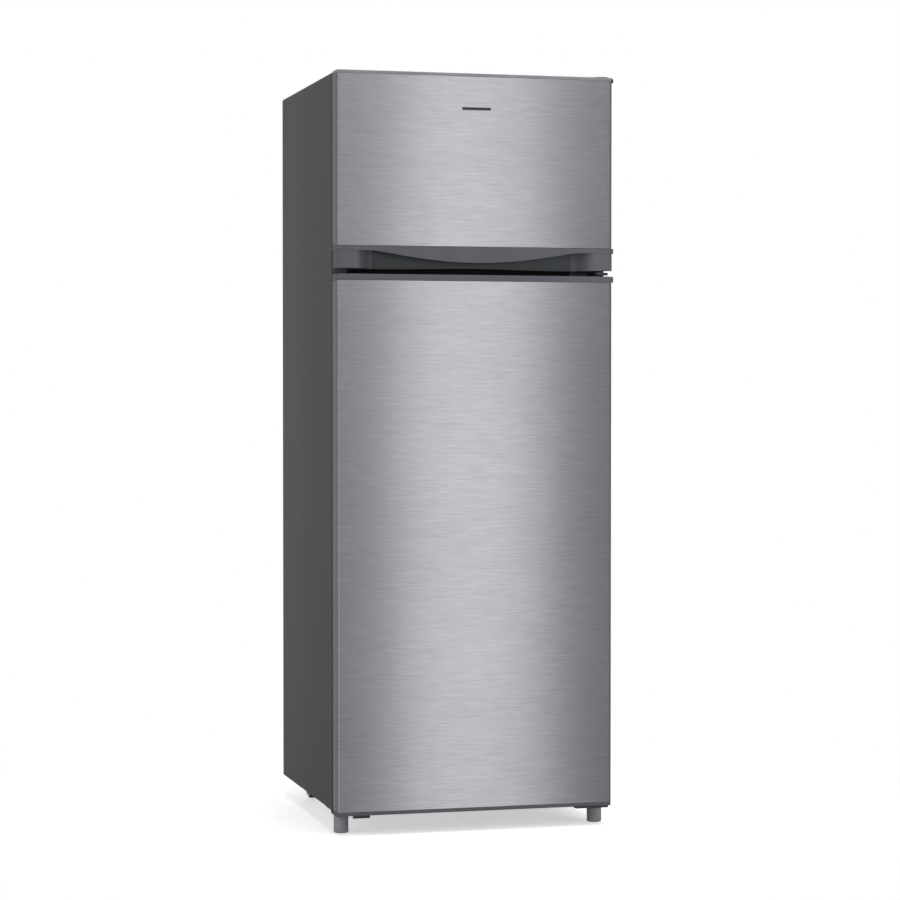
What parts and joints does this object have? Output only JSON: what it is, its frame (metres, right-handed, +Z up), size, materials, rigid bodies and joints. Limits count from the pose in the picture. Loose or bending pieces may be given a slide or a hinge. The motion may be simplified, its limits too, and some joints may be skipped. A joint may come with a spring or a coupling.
{
  "type": "top freezer refrigerator",
  "caption": "Upright refrigerator with a freezer on top, right-hinged doors, a finger pocket between them, glass shelves, door bins, crisper, compressor bay and wire condenser.",
  "frame": {"origin": "on the floor below the middle of the cabinet", "axes": "+Z up, +X to the right of someone facing the doors, +Y to the back; the doors face -Y"},
  "size_m": [0.541, 0.55, 1.43],
  "materials": {
    "painted_steel": "dark grey powder coat, fine grain",
    "stainless": "brushed stainless steel, grain running across",
    "grey_trim": "satin grey moulded plastic",
    "foot_grey": "matt grey moulded plastic",
    "white_liner": "white vacuum formed liner",
    "clear_plastic": "clear moulded plastic",
    "shelf_glass": "toughened glass",
    "gasket_rubber": "grey magnetic door seal",
    "foam": null,
    "zinc_steel": "zinc plated steel",
    "black_enamel": "black enamel",
    "copper": "bare copper",
    "aluminium": "plain aluminium sheet",
    "black_plastic": "black moulded plastic",
    "bulb_glass": "frosted bulb glass"
  },
  "bodies": {
    "root": {"cabinet_wrap": "painted_steel", "back_panel": "zinc_steel", "cabinet_base": "zinc_steel", "mullion_plate": "painted_steel", "insulation_foam": "foam", "freezer_liner": "white_liner", "fridge_liner": "white_liner", "top_hinge": "zinc_steel", "top_hinge_cover": "black_plastic", "middle_hinge": "zinc_steel", "bottom_hinge": "zinc_steel", "left_foot_bracket": "zinc_steel", "rear_axle": "zinc_steel", "compressor_plate": "zinc_steel", "compressor_lower_shell": "black_enamel", "compressor_upper_shell": "black_enamel", "compressor_pump": "zinc_steel", "starter_cover": "black_plastic", "drip_tray": "black_plastic", "condenser_coil": "black_enamel", "discharge_pipe": "copper", "suction_pipe": "copper", "filter_drier": "copper", "evaporator_plate": "aluminium", "thermostat_housing": "white_liner", "lamp_bulb": "bulb_glass", "lamp_lens": "clear_plastic", "freezer_shelf": "aluminium", "upper_shelf_glass": "shelf_glass", "middle_shelf_glass": "shelf_glass", "lower_shelf_glass": "shelf_glass", "crisper_cover_glass": "shelf_glass", "upper_shelf_trim": "white_liner", "middle_shelf_trim": "white_liner", "lower_shelf_trim": "white_liner", "crisper_cover_trim": "white_liner"},
    "freezer_door": {"freezer_door_skin": "stainless", "freezer_door_top_cap": "grey_trim", "freezer_door_handle": "grey_trim", "freezer_door_liner": "white_liner", "freezer_door_foam": "foam", "freezer_door_gasket": "gasket_rubber", "freezer_door_bin_lower": "clear_plastic", "freezer_door_bin_upper": "clear_plastic"},
    "fridge_door": {"fridge_door_skin": "stainless", "fridge_door_top_cap": "grey_trim", "fridge_door_bottom_cap": "grey_trim", "fridge_door_liner": "white_liner", "fridge_door_foam": "foam", "fridge_door_gasket": "gasket_rubber", "door_bin_bottle": "clear_plastic", "door_bin_middle": "clear_plastic", "door_bin_upper": "clear_plastic"},
    "crisper": {"crisper_drawer": "clear_plastic"},
    "lamp_switch": {"lamp_switch": "white_liner"},
    "thermostat_knob": {"thermostat_knob": "white_liner"},
    "front_foot_left": {"front_foot_left": "foot_grey"},
    "front_foot_right": {"front_foot_right": "foot_grey"},
    "rear_roller_left": {"rear_roller_left": "black_plastic"},
    "rear_roller_right": {"rear_roller_right": "black_plastic"}
  },
  "joints": [
    {"name": "freezer_door_hinge", "type": "hinge", "parent": "root", "child": "freezer_door", "pos_m": [0.2495, -0.253, 1.24075], "axis": [0, 0, 1], "range_deg": [0, 130]},
    {"name": "fridge_door_hinge", "type": "hinge", "parent": "root", "child": "fridge_door", "pos_m": [0.2495, -0.253, 0.5425], "axis": [0, 0, 1], "range_deg": [0, 130]},
    {"name": "crisper_slide", "type": "slide", "parent": "root", "child": "crisper", "axis": [0, -1, 0], "range_m": [0, 0.12]},
    {"name": "lamp_switch_slide", "type": "slide", "parent": "root", "child": "lamp_switch", "axis": [0, -1, 0], "range_m": [0, 0.005]},
    {"name": "thermostat_knob_turn", "type": "hinge", "parent": "root", "child": "thermostat_knob", "pos_m": [0.0975, -0.185, 0.99925], "axis": [0, 1, 0], "range_deg": [0, 270]},
    {"name": "front_foot_left_screw", "type": "hinge", "parent": "root", "child": "front_foot_left", "pos_m": [-0.2495, -0.222, 0], "axis": [0, 0, 1], "continuous": true},
    {"name": "front_foot_right_screw", "type": "hinge", "parent": "root", "child": "front_foot_right", "pos_m": [0.2495, -0.222, 0], "axis": [0, 0, 1], "continuous": true},
    {"name": "rear_roller_left_spin", "type": "hinge", "parent": "root", "child": "rear_roller_left", "pos_m": [-0.2155, 0.2, 0.018], "axis": [1, 0, 0], "continuous": true},
    {"name": "rear_roller_right_spin", "type": "hinge", "parent": "root", "child": "rear_roller_right", "pos_m": [0.2155, 0.2, 0.018], "axis": [1, 0, 0], "continuous": true}
  ],
  "couplings": [
    {"joint": "crisper_slide", "follows": "fridge_door_hinge", "m_per_rad": 0.0528},
    {"joint": "lamp_switch_slide", "follows": "fridge_door_hinge", "m_per_rad": 0.0022}
  ]
}
